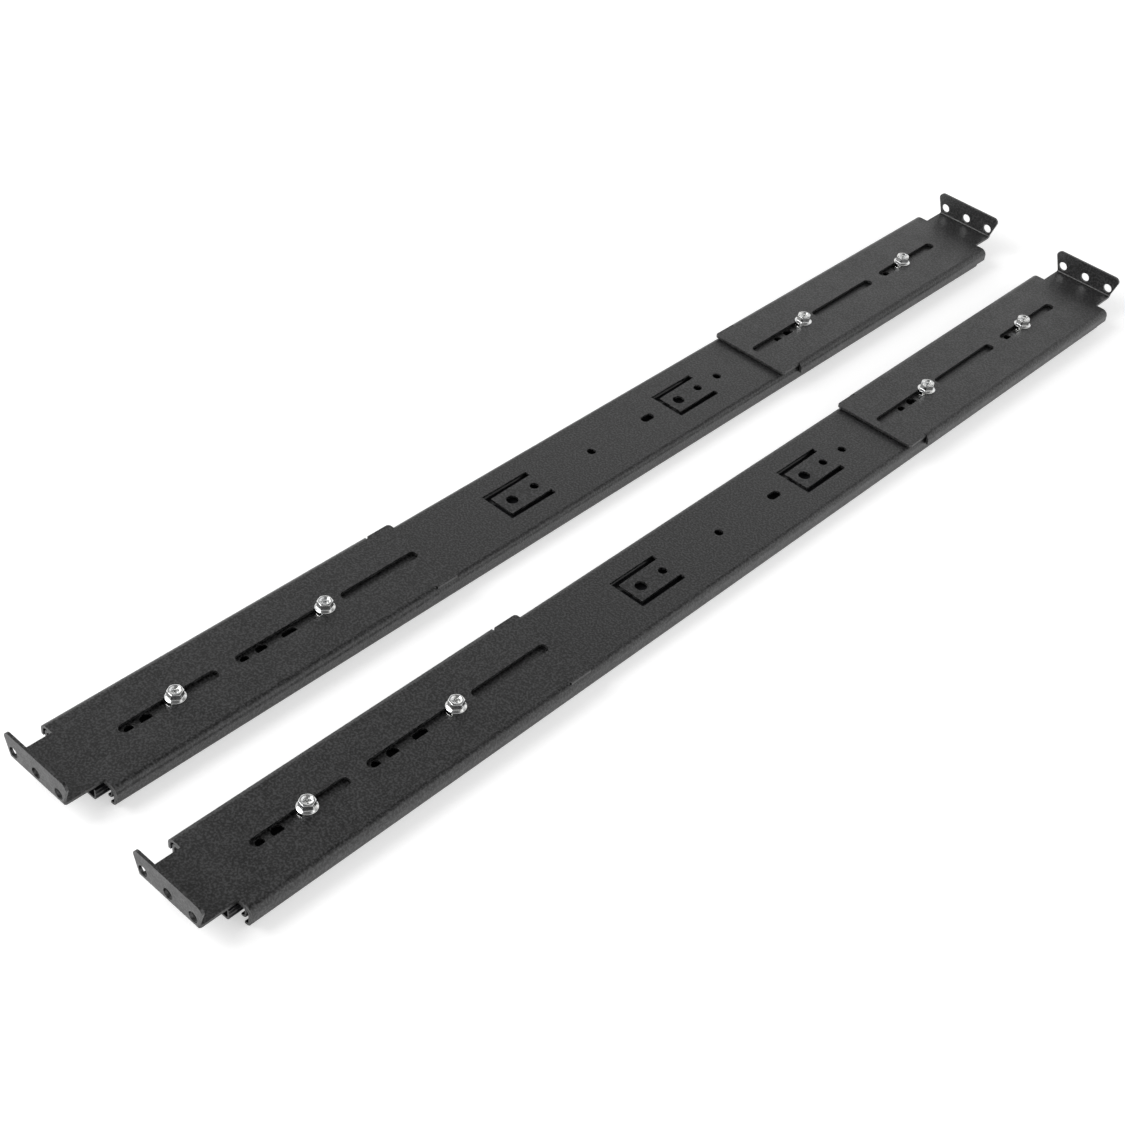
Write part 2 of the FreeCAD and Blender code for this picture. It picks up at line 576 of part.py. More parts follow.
def rear_buffer():
    """Rubber block that the intermediate member closes on, held by its peg in the web."""
    y = rear_buffer_y()
    body = block(-REAR_BUFFER_HALF_WIDTH, REAR_BUFFER_HALF_WIDTH, y - REAR_BUFFER_LENGTH / 2,
                 y + REAR_BUFFER_LENGTH / 2, MID_LIFT + MID_SHEET, OUTER_WEB_UNDER)
    return body.fuse(upright(BUFFER_PEG_D, 0, y, OUTER_WEB_UNDER, SLIDE_DEPTH))


def middle_buffer():
    """Rubber block that the inner member closes on, held by its peg in the dish."""
    y = mid_buffer_y()
    body = block(-MID_BUFFER_HALF_WIDTH, MID_BUFFER_HALF_WIDTH, y - MID_BUFFER_LENGTH / 2,
                 y + MID_BUFFER_LENGTH / 2, INNER_WEB_TOP, DISH_UNDER)
    return body.fuse(upright(BUFFER_PEG_D, 0, y, DISH_UNDER, DISH_TOP))


def outer_stop_stud():
    """Stud under the outer web that ends the intermediate member's travel."""
    low = DISH_TOP + STOP_TIP_GAP
    stud = upright(STOP_D, STOP_X, OUTER_STOP_Y, low, OUTER_WEB_UNDER)
    shank = upright(STOP_SHANK_D, STOP_X, OUTER_STOP_Y, OUTER_WEB_UNDER, SLIDE_DEPTH)
    head = upright(STOP_HEAD_D, STOP_X, OUTER_STOP_Y, SLIDE_DEPTH, SLIDE_DEPTH + STOP_HEAD_HEIGHT)
    return stud.fuse([shank, head])


def intermediate_stop_stud():
    """Stud on the dish that meets the outer stud at full reach."""
    high = OUTER_WEB_UNDER - LANCE_DROP - STOP_TIP_GAP
    stud = upright(STOP_D, STOP_X, MID_STOP_Y, DISH_TOP, high)
    shank = upright(STOP_SHANK_D, STOP_X, MID_STOP_Y, DISH_UNDER, DISH_TOP)
    head = upright(STOP_HEAD_D, STOP_X, MID_STOP_Y, DISH_UNDER - STOP_HEAD_HEIGHT, DISH_UNDER)
    return stud.fuse([shank, head])


# ================================================================ release lever
def spring_leg(side):
    """Start of a spring leg on the turn and the direction it runs in, towards x > 0 for side 1."""
    spread = math.radians(SPRING_SPREAD)
    turn_r = PIVOT_D / 2 + PIVOT_CLEARANCE + SPRING_WIRE_D / 2
    start = Vector(side * turn_r * math.cos(spread), PIVOT_Y - turn_r * math.sin(spread), SPRING_Z)
    return start, Vector(side * math.sin(spread), math.cos(spread), 0), turn_r


def spring_post(side, foot):
    """Post that a spring leg leans on from inside, standing on the level `foot`."""
    start, along, _ = spring_leg(side)
    outward = Vector(side * along.y, -side * along.x, 0)
    reach = SPRING_WIRE_D / 2 + SPRING_GAP + SPRING_POST_D / 2
    centre = start + along * SPRING_HOLD + outward * reach
    return upright(SPRING_POST_D, centre.x, centre.y, foot, SPRING_TOP)


def release_lever():
    """Lever that locks the inner member out: thumb pad, nose, pivot eye and spring post."""
    r = LEVER_WIDTH / 2
    front = PIVOT_Y - LEVER_NOSE_ARM
    tip = PIVOT_Y - LEVER_THUMB_ARM
    arm = block(-r, r, tip, PIVOT_Y, LEVER_UNDER, LEVER_TOP)
    pad = block(-r, r, tip, tip + LEVER_THUMB_LENGTH, LEVER_TOP, SPRING_TOP)
    eye = upright(LEVER_WIDTH, 0, PIVOT_Y, LEVER_UNDER, LEVER_TOP)
    nose_corner = PIVOT_Y - math.sqrt(LEVER_NOSE_ARM ** 2 + r ** 2 - LEVER_NOSE_REACH ** 2)
    nose = outline_plate([Vector(r, front, LEVER_UNDER), Vector(LEVER_NOSE_REACH, nose_corner, LEVER_UNDER),
                          Vector(LEVER_NOSE_REACH, front + LEVER_NOSE_LENGTH / 2, LEVER_UNDER),
                          Vector(r, front + LEVER_NOSE_LENGTH, LEVER_UNDER)], UP * LEVER_SHEET)
    post = spring_post(-1, LEVER_UNDER)
    at = post.BoundBox.Center
    tail = upright(LEVER_TAIL_D, at.x, at.y, LEVER_UNDER, LEVER_TOP)
    neck = outline_plate([Vector(0, PIVOT_Y, LEVER_UNDER), Vector(-r, PIVOT_Y, LEVER_UNDER),
                          Vector(at.x - LEVER_TAIL_D / 2, at.y, LEVER_UNDER),
                          Vector(at.x + LEVER_TAIL_D / 2, at.y, LEVER_UNDER)], UP * LEVER_SHEET)
    bore = upright(PIVOT_D + 2 * PIVOT_CLEARANCE, 0, PIVOT_Y, LEVER_UNDER, LEVER_TOP)
    return arm.fuse([pad, eye, nose, post, tail, neck]).removeSplitter().cut(bore)


def pivot_rivet():
    """Shouldered rivet that carries the lever and its spring on the inner member's web."""
    shank = upright(PIVOT_D, 0, PIVOT_Y, INNER_LIFT, SPRING_TOP + LEVER_GAP)
    head = upright(PIVOT_HEAD_D, 0, PIVOT_Y, SPRING_TOP + LEVER_GAP,
                   SPRING_TOP + LEVER_GAP + PIVOT_HEAD_HEIGHT)
    return shank.fuse(head)


def lever_spring():
    """Hairpin spring round the pivot; its legs press the lever's tail and a fixed post apart."""
    left, left_along, turn_r = spring_leg(-1)
    right, right_along, _ = spring_leg(1)
    turn = Part.Arc(left, Vector(0, PIVOT_Y - turn_r, SPRING_Z), right).toShape()
    left_end = left + left_along * SPRING_LEG
    right_end = right + right_along * SPRING_LEG
    path = Part.Wire([Part.LineSegment(left_end, left).toShape(), turn,
                      Part.LineSegment(right, right_end).toShape()])
    section = Part.Wire([Part.makeCircle(SPRING_WIRE_D / 2, left_end, left_along)])
    return path.makePipeShell([section], True, False, 0)


def lever_catch():
    """Steel block under the dish that the lever's nose locks behind."""
    body = block(CATCH_NEAR_X, CATCH_FAR_X, CATCH_REAR - CATCH_LENGTH, CATCH_REAR,
                 LEVER_TOP - CATCH_BITE, DISH_UNDER)
    return body.cut(upright(CATCH_RIVET_D, CATCH_X, CATCH_Y, LEVER_UNDER, DISH_UNDER))


def catch_rivet():
    """Rivet that holds the catch to the dish."""
    shank = upright(CATCH_RIVET_D, CATCH_X, CATCH_Y, LEVER_TOP - CATCH_BITE, DISH_TOP)
    head = upright(STOP_HEAD_D, CATCH_X, CATCH_Y, DISH_TOP, DISH_TOP + STOP_HEAD_HEIGHT)
    return shank.fuse(head)


# ================================================================ the pair
PIECES = (outer_member, intermediate_member, inner_member, front_bracket, rear_bracket,
          front_screws, rear_screws, front_clinch_nuts, rear_clinch_nuts,
          outer_ball_cage, outer_balls, inner_ball_cage, inner_balls,
          rear_buffer, middle_buffer, outer_stop_stud, intermediate_stop_stud,
          release_lever, pivot_rivet, lever_spring, lever_catch, catch_rivet)


def main():
    """Write one STEP file per piece of each rail."""
    os.makedirs("parts", exist_ok=True)
    for piece in PIECES:
        shape = piece()
        for rail, x in (("left", -RAIL_PITCH / 2), ("right", RAIL_PITCH / 2)):
            placed = shape.copy()
            placed.translate(Vector(x, 0, 0))
            placed.exportStep(os.path.join("parts", rail + "_" + piece.__name__ + ".step"))
        print(piece.__name__, len(shape.Solids), "solids", round(shape.Volume, 1), "mm3", shape.isValid())


main()
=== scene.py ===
"""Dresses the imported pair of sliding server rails.

Each rail is a telescopic ball slide of three members under two slotted ear
brackets. The stamped, turned and moulded pieces are rebuilt from their frame
solids with eased edges, and the clamping screws are rebuilt in full, with
chamfered hexagon, dished and cross-cut top and a rolled thread. Every piece
gets a procedural finish. Lengths are in metres unless a name ends in _mm; the sizes
of a FlangeScrew are all in millimetres, and its angles in radians.
"""
from __future__ import annotations

import json
import logging
import math
from dataclasses import dataclass, field
from enum import Enum

import bmesh
import bpy
import numpy as np
from mathutils import Matrix, Vector

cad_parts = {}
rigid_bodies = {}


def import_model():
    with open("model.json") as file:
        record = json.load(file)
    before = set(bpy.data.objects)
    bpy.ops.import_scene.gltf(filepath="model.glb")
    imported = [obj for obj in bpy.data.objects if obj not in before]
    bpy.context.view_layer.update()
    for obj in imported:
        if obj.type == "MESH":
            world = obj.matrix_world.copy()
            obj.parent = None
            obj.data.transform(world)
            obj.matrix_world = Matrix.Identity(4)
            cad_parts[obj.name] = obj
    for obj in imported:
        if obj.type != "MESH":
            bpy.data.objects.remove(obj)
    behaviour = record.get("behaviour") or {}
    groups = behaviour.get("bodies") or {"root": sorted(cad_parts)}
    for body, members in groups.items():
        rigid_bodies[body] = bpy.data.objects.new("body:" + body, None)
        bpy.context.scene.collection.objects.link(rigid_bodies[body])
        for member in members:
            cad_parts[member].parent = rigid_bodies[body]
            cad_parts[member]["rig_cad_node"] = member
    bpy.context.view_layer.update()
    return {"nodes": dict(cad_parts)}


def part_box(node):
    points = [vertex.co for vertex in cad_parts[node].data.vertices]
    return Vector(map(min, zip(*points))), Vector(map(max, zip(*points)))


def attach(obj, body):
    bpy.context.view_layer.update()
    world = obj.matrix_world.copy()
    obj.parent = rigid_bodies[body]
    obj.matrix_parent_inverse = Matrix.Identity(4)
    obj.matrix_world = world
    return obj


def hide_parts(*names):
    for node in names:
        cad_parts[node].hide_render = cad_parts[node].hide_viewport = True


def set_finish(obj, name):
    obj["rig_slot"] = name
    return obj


LOG = logging.getLogger("server_rails")
MM = 0.001

# Noise values between which a pattern runs from its weak to its strong side.
WEAK_NOISE, STRONG_NOISE = 0.3, 0.7

Colour = tuple[float, float, float]
Stretch = tuple[float, float, float]
Place = tuple[float, float, float]
EVEN: Stretch = (1.0, 1.0, 1.0)


class Side(Enum):
    """The two rails of the pair."""

    LEFT = "left"
    RIGHT = "right"

    def node(self, name: str) -> str:
        """Name of this rail's node or body."""
        return f"{self.value}_{name}"


class Coat(Enum):
    """The record's material slots."""

    POWDER = "powder_coat"
    BLACK = "black_coat"
    ZINC = "bright_zinc"
    LEVER = "lever_zinc"
    CAGE = "cage_steel"
    BALL = "ball_steel"
    SPRING = "spring_steel"
    RUBBER = "black_rubber"


# ---------------------------------------------------------------- finishes
class ShaderBench:
    """Sets out the shader nodes of one material and joins them."""

    def __init__(self, name: str) -> None:
        """Start a material with only an output.

        Args:
            name: name of the material.
        """
        self.material = bpy.data.materials.new(name)
        self.material.use_nodes = True
        self.tree = self.material.node_tree
        self.tree.nodes.clear()
        self.output = self.add("ShaderNodeOutputMaterial")

    def add(self, kind: str, **settings: object) -> bpy.types.Node:
        """Add a node.

        Args:
            kind: Blender's name for the node type.
            **settings: attributes of the node to set.

        Returns:
            The new node.
        """
        made = self.tree.nodes.new(kind)
        for key, value in settings.items():
            setattr(made, key, value)
        return made

    def join(self, source: bpy.types.NodeSocket, target: bpy.types.NodeSocket) -> None:
        """Link two sockets."""
        self.tree.links.new(source, target)

    def place(self, stretch: Stretch = EVEN) -> bpy.types.NodeSocket:
        """Give the point on the piece, in metres, stretched for a grain.

        Args:
            stretch: factor on each axis; a small one draws the pattern out.

        Returns:
            The vector socket to feed to a texture.
        """
        here = self.add("ShaderNodeTexCoord")
        scaled = self.add("ShaderNodeMapping")
        scaled.inputs["Scale"].default_value = stretch
        self.join(here.outputs["Object"], scaled.inputs["Vector"])
        return scaled.outputs["Vector"]

    def noise(
        self,
        where: bpy.types.NodeSocket,
        grain_mm: float,
        detail: float = 2.0,
    ) -> bpy.types.NodeSocket:
        """Add a noise whose lumps are about grain_mm across.

        Args:
            where: the vector socket to read the place from.
            grain_mm: size of a lump in millimetres.
            detail: octaves of finer noise.

        Returns:
            The noise's value socket.
        """
        cloud = self.add("ShaderNodeTexNoise")
        cloud.inputs["Scale"].default_value = 1.0 / (grain_mm * MM)
        cloud.inputs["Detail"].default_value = detail
        self.join(where, cloud.inputs["Vector"])
        return cloud.outputs["Fac"]

    def spread(self, value: bpy.types.NodeSocket, low: float, high: float) -> bpy.types.NodeSocket:
        """Map a noise value to the range from low to high.

        Args:
            value: the noise socket.
            low: result where the noise is weak.
            high: result where the noise is strong.

        Returns:
            The mapped value socket.
        """
        span = self.add("ShaderNodeMapRange")
        span.inputs["From Min"].default_value = WEAK_NOISE
        span.inputs["From Max"].default_value = STRONG_NOISE
        span.inputs["To Min"].default_value = low
        span.inputs["To Max"].default_value = high
        self.join(value, span.inputs["Value"])
        return span.outputs["Result"]

    def tint(
        self,
        value: bpy.types.NodeSocket,
        dark: Colour,
        light: Colour,
        stops: tuple[float, float] = (0.32, 0.68),
    ) -> bpy.types.NodeSocket:
        """Blend between two colours by a noise value.

        Args:
            value: the noise socket.
            dark: colour where the noise is weak.
            light: colour where the noise is strong.
            stops: noise values at which the two colours are reached.

        Returns:
            The colour socket.
        """
        ramp = self.add("ShaderNodeValToRGB")
        ramp.color_ramp.elements[0].position = stops[0]
        ramp.color_ramp.elements[0].color = (*dark, 1.0)
        ramp.color_ramp.elements[1].position = stops[1]
        ramp.color_ramp.elements[1].color = (*light, 1.0)
        self.join(value, ramp.inputs["Fac"])
        return ramp.outputs["Color"]

    def relief(
        self,
        height: bpy.types.NodeSocket,
        depth_mm: float,
        strength: float,
        over: bpy.types.NodeSocket | None = None,
    ) -> bpy.types.NodeSocket:
        """Raise a noise as a bump.

        Args:
            height: the noise socket.
            depth_mm: height of the lumps in millimetres.
            strength: share of the bump that shows.
            over: normal socket of a coarser bump below this one.

        Returns:
            The normal socket.
        """
        bump = self.add("ShaderNodeBump")
        bump.inputs["Distance"].default_value = depth_mm * MM
        bump.inputs["Strength"].default_value = strength
        self.join(height, bump.inputs["Height"])
        if over is not None:
            self.join(over, bump.inputs["Normal"])
        return bump.outputs["Normal"]

    def surface(
        self,
        colour: bpy.types.NodeSocket,
        roughness: bpy.types.NodeSocket,
        normal: bpy.types.NodeSocket,
        metallic: float = 0.0,
        ior: float = 1.5,
    ) -> bpy.types.Material:
        """Join everything to the main shader.

        Args:
            colour: base colour socket.
            roughness: roughness socket.
            normal: normal socket.
            metallic: 1 for bare or plated metal, 0 for a coating.
            ior: index of refraction of the coating.

        Returns:
            The finished material.
        """
        shader = self.add("ShaderNodeBsdfPrincipled")
        shader.inputs["Metallic"].default_value = metallic
        shader.inputs["IOR"].default_value = ior
        self.join(colour, shader.inputs["Base Color"])
        self.join(roughness, shader.inputs["Roughness"])
        self.join(normal, shader.inputs["Normal"])
        self.join(shader.outputs["BSDF"], self.output.inputs["Surface"])
        return self.material


@dataclass(frozen=True)
class TexturedPowder:
    """Fine-textured satin powder coat: a grain on a soft orange peel."""

    dark: Colour = (0.001, 0.001, 0.001)
    light: Colour = (0.040, 0.040, 0.041)
    grain_stops: tuple[float, float] = (0.44, 0.62)
    grain_mm: float = 1.05
    peel_mm: float = 3.0
    grain_height_mm: float = 0.16
    peel_height_mm: float = 0.06
    smoothest: float = 0.33
    roughest: float = 0.43
    cloud_mm: float = 9.0
    grain_detail: float = 3.0
    peel_detail: float = 1.0
    grain_shows: float = 0.7
    peel_shows: float = 0.5
    ior: float = 1.62

    def material(self) -> bpy.types.Material:
        """Build the coat's material."""
        bench = ShaderBench("textured_black_powder")
        where = bench.place()
        grain = bench.noise(where, self.grain_mm, self.grain_detail)
        peel = bench.noise(where, self.peel_mm, self.peel_detail)
        colour = bench.tint(grain, self.dark, self.light, self.grain_stops)
        roughness = bench.spread(bench.noise(where, self.cloud_mm), self.smoothest, self.roughest)
        below = bench.relief(peel, self.peel_height_mm, self.peel_shows)
        normal = bench.relief(grain, self.grain_height_mm, self.grain_shows, below)
        return bench.surface(colour, roughness, normal, ior=self.ior)


@dataclass(frozen=True)
class DippedBlack:
    """Thin satin black dip coat that lets the rolled steel's draw lines show."""

    dark: Colour = (0.010, 0.010, 0.011)
    light: Colour = (0.017, 0.017, 0.019)
    line_mm: float = 0.35
    draw: float = 0.03
    cloud_mm: float = 6.0
    smoothest: float = 0.26
    roughest: float = 0.36
    line_height_mm: float = 0.012
    lines_show: float = 0.4

    def material(self) -> bpy.types.Material:
        """Build the coat's material."""
        bench = ShaderBench("dipped_black")
        lines = bench.noise(bench.place((1.0, self.draw, 1.0)), self.line_mm, 2.0)
        cloud = bench.noise(bench.place(), self.cloud_mm)
        colour = bench.tint(cloud, self.dark, self.light)
        roughness = bench.spread(lines, self.smoothest, self.roughest)
        normal = bench.relief(lines, self.line_height_mm, self.lines_show)
        return bench.surface(colour, roughness, normal)


@dataclass(frozen=True)
class PlatedSteel:
    """Plated or bare steel with a fine grain and a cloudy polish."""

    name: str
    dark: Colour
    light: Colour
    smoothest: float
    roughest: float
    grain_mm: float = 0.3
    stretch: Stretch = EVEN
    relief_mm: float = 0.004
    relief_shows: float = 0.5
    cloud_mm: float = 2.5

    def material(self) -> bpy.types.Material:
        """Build the metal's material."""
        bench = ShaderBench(self.name)
        grain = bench.noise(bench.place(self.stretch), self.grain_mm, 2.0)
        cloud = bench.noise(bench.place(), self.cloud_mm)
        colour = bench.tint(cloud, self.dark, self.light)
        roughness = bench.spread(grain, self.smoothest, self.roughest)
        normal = bench.relief(grain, self.relief_mm, self.relief_shows)
        return bench.surface(colour, roughness, normal, metallic=1.0)


@dataclass(frozen=True)
class MouldedRubber:
    """Matt moulded rubber with a dusty bloom."""

    dark: Colour = (0.012, 0.012, 0.012)
    light: Colour = (0.026, 0.026, 0.025)
    pore_mm: float = 0.25
    pore_detail: float = 3.0
    pore_depth_mm: float = 0.02
    pores_show: float = 0.6
    bloom_mm: float = 3.0
    smoothest: float = 0.62
    roughest: float = 0.85

    def material(self) -> bpy.types.Material:
        """Build the rubber's material."""
        bench = ShaderBench("moulded_rubber")
        pores = bench.noise(bench.place(), self.pore_mm, self.pore_detail)
        bloom = bench.noise(bench.place(), self.bloom_mm)
        colour = bench.tint(bloom, self.dark, self.light)
        roughness = bench.spread(pores, self.smoothest, self.roughest)
        normal = bench.relief(pores, self.pore_depth_mm, self.pores_show)
        return bench.surface(colour, roughness, normal)


@dataclass
class FinishShop:
    """Mixes each finish once and puts it on pieces."""

    mixed: dict[Coat, bpy.types.Material] = field(default_factory=dict)

    def mix(self) -> None:
        """Make every material that the rails use."""
        along_rail: Stretch = (1.0, 0.05, 1.0)
        finishes = {
            Coat.POWDER: TexturedPowder(),
            Coat.BLACK: DippedBlack(),
            Coat.ZINC: PlatedSteel(
                "bright_zinc_plate", (0.70, 0.71, 0.72), (0.84, 0.84, 0.82), 0.12, 0.22),
            Coat.LEVER: PlatedSteel(
                "lever_zinc_plate", (0.60, 0.60, 0.61), (0.74, 0.73, 0.70), 0.22, 0.34),
            Coat.CAGE: PlatedSteel(
                "cage_strip", (0.42, 0.43, 0.44), (0.56, 0.56, 0.55), 0.24, 0.38, stretch=along_rail),
            Coat.BALL: PlatedSteel(
                "bearing_ball", (0.72, 0.73, 0.74), (0.80, 0.80, 0.80), 0.04, 0.09),
            Coat.SPRING: PlatedSteel(
                "tempered_wire", (0.20, 0.19, 0.18), (0.33, 0.31, 0.28), 0.25, 0.38),
            Coat.RUBBER: MouldedRubber(),
        }
        self.mixed = {coat: finish.material() for coat, finish in finishes.items()}

    def coat(self, piece: bpy.types.Object, coat: Coat) -> None:
        """Put one finish all over a piece.

        Args:
            piece: the object to dress.
            coat: which finish it gets.
        """
        piece.data.materials.clear()
        piece.data.materials.append(self.mixed[coat])
        if coat.value != piece.get("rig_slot") and "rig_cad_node" not in piece:
            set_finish(piece, coat.value)


# ---------------------------------------------------------------- making pieces
def add_object(name: str, mesh: bpy.types.Mesh) -> bpy.types.Object:
    """Put a mesh in the scene as an object.

    Args:
        name: name of the new piece.
        mesh: its mesh.

    Returns:
        The new object.
    """
    made = bpy.data.objects.new(name, mesh)
    bpy.context.scene.collection.objects.link(made)
    return made


@dataclass(frozen=True)
class EdgeEase:
    """How far a maker's tumbling or coating rounds a piece's edges."""

    radius_mm: float = 0.1
    steps: int = 2
    sharper_than: float = 32.0
    flat_within: float = 0.4
    weld_within_mm: float = 0.001
    flat_face_weight: int = 50

    def eased(self, node: str) -> bpy.types.Object:
        """Rebuild a frame solid with its edges rounded.

        Args:
            node: the frame node whose solid is the starting shape.

        Returns:
            The new piece, in place.
        """
        mesh = frame["nodes"][node].data.copy()
        work = bmesh.new()
        work.from_mesh(mesh)
        bmesh.ops.remove_doubles(work, verts=work.verts, dist=self.weld_within_mm * MM)
        flat = math.radians(self.flat_within)
        bmesh.ops.dissolve_limit(work, angle_limit=flat, verts=work.verts, edges=work.edges)
        for edge in work.edges:
            edge.smooth = True
        for face in work.faces:
            face.smooth = True
        work.to_mesh(mesh)
        work.free()
        rough = add_object(node + "_blank", mesh)
        bevel = rough.modifiers.new("ease", "BEVEL")
        bevel.limit_method = "ANGLE"
        bevel.angle_limit = math.radians(self.sharper_than)
        bevel.width = self.radius_mm * MM
        bevel.segments = self.steps
        bevel.use_clamp_overlap = False
        level = rough.modifiers.new("level", "WEIGHTED_NORMAL")
        level.weight = self.flat_face_weight
        bpy.context.view_layer.update()
        ready = rough.evaluated_get(bpy.context.evaluated_depsgraph_get())
        final = bpy.data.meshes.new_from_object(ready)
        bpy.data.objects.remove(rough)
        bpy.data.meshes.remove(mesh)
        return add_object(node + "_eased", final)


@dataclass
class EasedPieces:
    """Pieces of one sub-assembly that are rebuilt with eased edges."""

    side: Side
    pieces: dict[str, Coat]
    body: str
    ease: EdgeEase = EdgeEase()

    def build(self, shop: FinishShop) -> list[bpy.types.Object]:
        """Build, dress and seat every piece.

        Args:
            shop: where the finishes come from.

        Returns:
            The new pieces.
        """
        made = []
        for name, coat in self.pieces.items():
            node = self.side.node(name)
            piece = self.ease.eased(node)
            shop.coat(piece, coat)
            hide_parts(node)
            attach(piece, self.body)
            made.append(piece)
        return made


@dataclass
class EarBrackets(EasedPieces):
    """The two slotted ear brackets that set the rail's depth in the rack."""

    pieces: dict[str, Coat] = field(default_factory=dict)
    body: str = ""
    ease: EdgeEase = EdgeEase(radius_mm=0.05)

    def build(self, shop: FinishShop) -> list[bpy.types.Object]:
        """Build the front and the rear bracket, each on its own body."""
        made = []
        for end in ("front", "rear"):
            self.pieces = {f"{end}_bracket": Coat.POWDER}
            self.body = self.side.node(f"{end}_bracket_body")
            made += super().build(shop)
        return made


# ---------------------------------------------------------------- clamping screws
@dataclass
class FlangeScrew:
    """M5 hexagon flange screw with a dished, cross-cut top."""

    thread_d: float = 5.0
    thread_pitch: float = 0.8
    thread_depth: float = 0.42
    shank_length: float = 5.75
    plain_length: float = 0.5
    flange_d: float = 9.9
    rim_height: float = 0.7
    cone_height: float = 1.3
    across_flats: float = 7.0
    head_height: float = 4.6
    crown_r: float = 3.36
    crown_slope: float = math.radians(30.0)
    dish_r: float = 2.6
    dish_floor_r: float = 1.9
    dish_depth: float = 0.7
    cross_length: float = 3.6
    cross_width: float = 0.95
    cross_depth: float = 0.9
    cross_wall: float = 0.16
    cross_turn: float = 0.4
    cross_rings: int = 26
    half_corner: float = math.radians(27.5)
    rings_per_pitch: int = 10
    lead_rings: int = 6
    spokes: int = 144

    def hexagon(self, turn: float) -> np.ndarray:
        """Radius of the hexagon at every spoke, with its corners just rounded.

        Args:
            turn: angle of one corner from the +X axis, in radians.

        Returns:
            One radius for each spoke, in millimetres.
        """
        off_flat = np.mod(self.angles() - turn, math.pi / 3) - math.pi / 6
        reach = self.across_flats / 2 / np.cos(off_flat)
        return np.minimum(reach, self.across_flats / 2 / math.cos(self.half_corner))

    def angles(self) -> np.ndarray:
        """Angle of each spoke, in radians."""
        return np.arange(self.spokes) * 2 * math.pi / self.spokes

    def thread_rings(self) -> list[tuple[np.ndarray, float]]:
        """Rings from the screw's tip up to the plain part under the flange."""
        threaded = self.shank_length - self.plain_length
        steps = int(threaded / (self.thread_pitch / self.rings_per_pitch))
        rings = []
        for k in range(steps + 1):
            z = -self.shank_length + k * threaded / steps
            phase = np.mod(z / self.thread_pitch - self.angles() / (2 * math.pi), 1.0)
            cut = self.thread_depth * np.clip(2.4 * np.abs(phase - 0.5) - 0.1, 0, 1)
            run_in = min(1.0, k / self.lead_rings)
            run_out = min(1.0, (steps - k) / self.lead_rings)
            radius = self.thread_d / 2 - cut * run_out - (1 - run_in) * self.thread_depth
            rings.append((radius, z))
        return rings

    def head_rings(self, turn: float) -> list[tuple[np.ndarray, np.ndarray]]:
        """Rings from under the flange, up the hexagon and in to the dish.

        Args:
            turn: angle of one corner of the hexagon.

        Returns:
            Pairs of radius and height for each spoke.
        """
        one = np.ones(self.spokes)
        flange = self.flange_d / 2
        hexa = self.hexagon(turn)
        low = self.cone_height
        top = self.head_height
        crown = top - np.maximum(hexa - self.crown_r, 0) * math.tan(self.crown_slope)
        rings = [
            (one * self.thread_d / 2, one * -0.02), (one * (self.thread_d / 2 + 0.15), one * 0.0),
            (one * (flange - 0.12), one * 0.0), (one * (flange - 0.04), one * 0.04),
            (one * flange, one * 0.12), (one * flange, one * (self.rim_height - 0.16)),
            (one * (flange - 0.05), one * (self.rim_height - 0.05)),
            (one * (flange - 0.18), one * self.rim_height),
        ]
        for share in (0.35, 0.7, 0.92):
            foot = hexa + 0.22
            rings.append(((flange - 0.18) * (1 - share) + foot * share,
                          self.rim_height + (low - self.rim_height) * share * one))
        rings += [(hexa + 0.07, one * (low + 0.05)), (hexa + 0.01, one * (low + 0.2)),
                  (hexa, (low + 0.2 + crown) / 2), (hexa, crown - 0.14),
                  (hexa - 0.03, crown - 0.05), (hexa - 0.12, crown + 0.02)]
        rim = np.minimum(hexa, self.crown_r) - 0.16
        rings += [((rim + hexa - 0.12) / 2, (crown + 0.02 + top) / 2), (rim, one * top),
                  (one * (self.dish_r + 0.14), one * top),
                  (one * (self.dish_r + 0.05), one * (top - 0.03)),
                  (one * (self.dish_r - 0.04), one * (top - 0.12)),
                  (one * (self.dish_floor_r + 0.1), one * (top - self.dish_depth + 0.1)),
                  (one * (self.dish_floor_r - 0.02), one * (top - self.dish_depth + 0.01))]
        return rings

    def recess_rings(self, turn: float) -> list[tuple[np.ndarray, np.ndarray]]:
        """Rings of the dish's floor with the driver's cross sunk in it.

        Args:
            turn: angle of one arm of the cross.

        Returns:
            Pairs of radius and height for each spoke.
        """
        arms = self.angles() - turn
        long, half = self.cross_length / 2, self.cross_width / 2
        floor = self.head_height - self.dish_depth
        rings = []
        for radius in np.linspace(self.dish_floor_r - 0.08, 0.06, self.cross_rings):
            x, y = np.abs(radius * np.cos(arms)), np.abs(radius * np.sin(arms))
            inside = np.maximum(np.minimum(half - y, long - x), np.minimum(half - x, long - y))
            sink = np.clip(inside / self.cross_wall, 0, 1)
            sink = sink * sink * (3 - 2 * sink) * self.cross_depth * (1 - 0.4 * radius / long)
            rings.append((np.full(self.spokes, radius), floor - sink))
        return rings

    def points(self, turn: float) -> np.ndarray:
        """All rings of the screw, seat at zero, in metres.

        Args:
            turn: how far the screw was driven round, in radians.

        Returns:
            An array of rings by spokes by three.
        """
        rings = self.thread_rings() + self.head_rings(turn) + self.recess_rings(turn + self.cross_turn)
        angles = self.angles()
        along, across = np.cos(angles), np.sin(angles)
        made = [
            np.stack([radius * along, radius * across, np.broadcast_to(z, angles.shape)], axis=1)
            for radius, z in rings
        ]
        return np.array(made) * MM

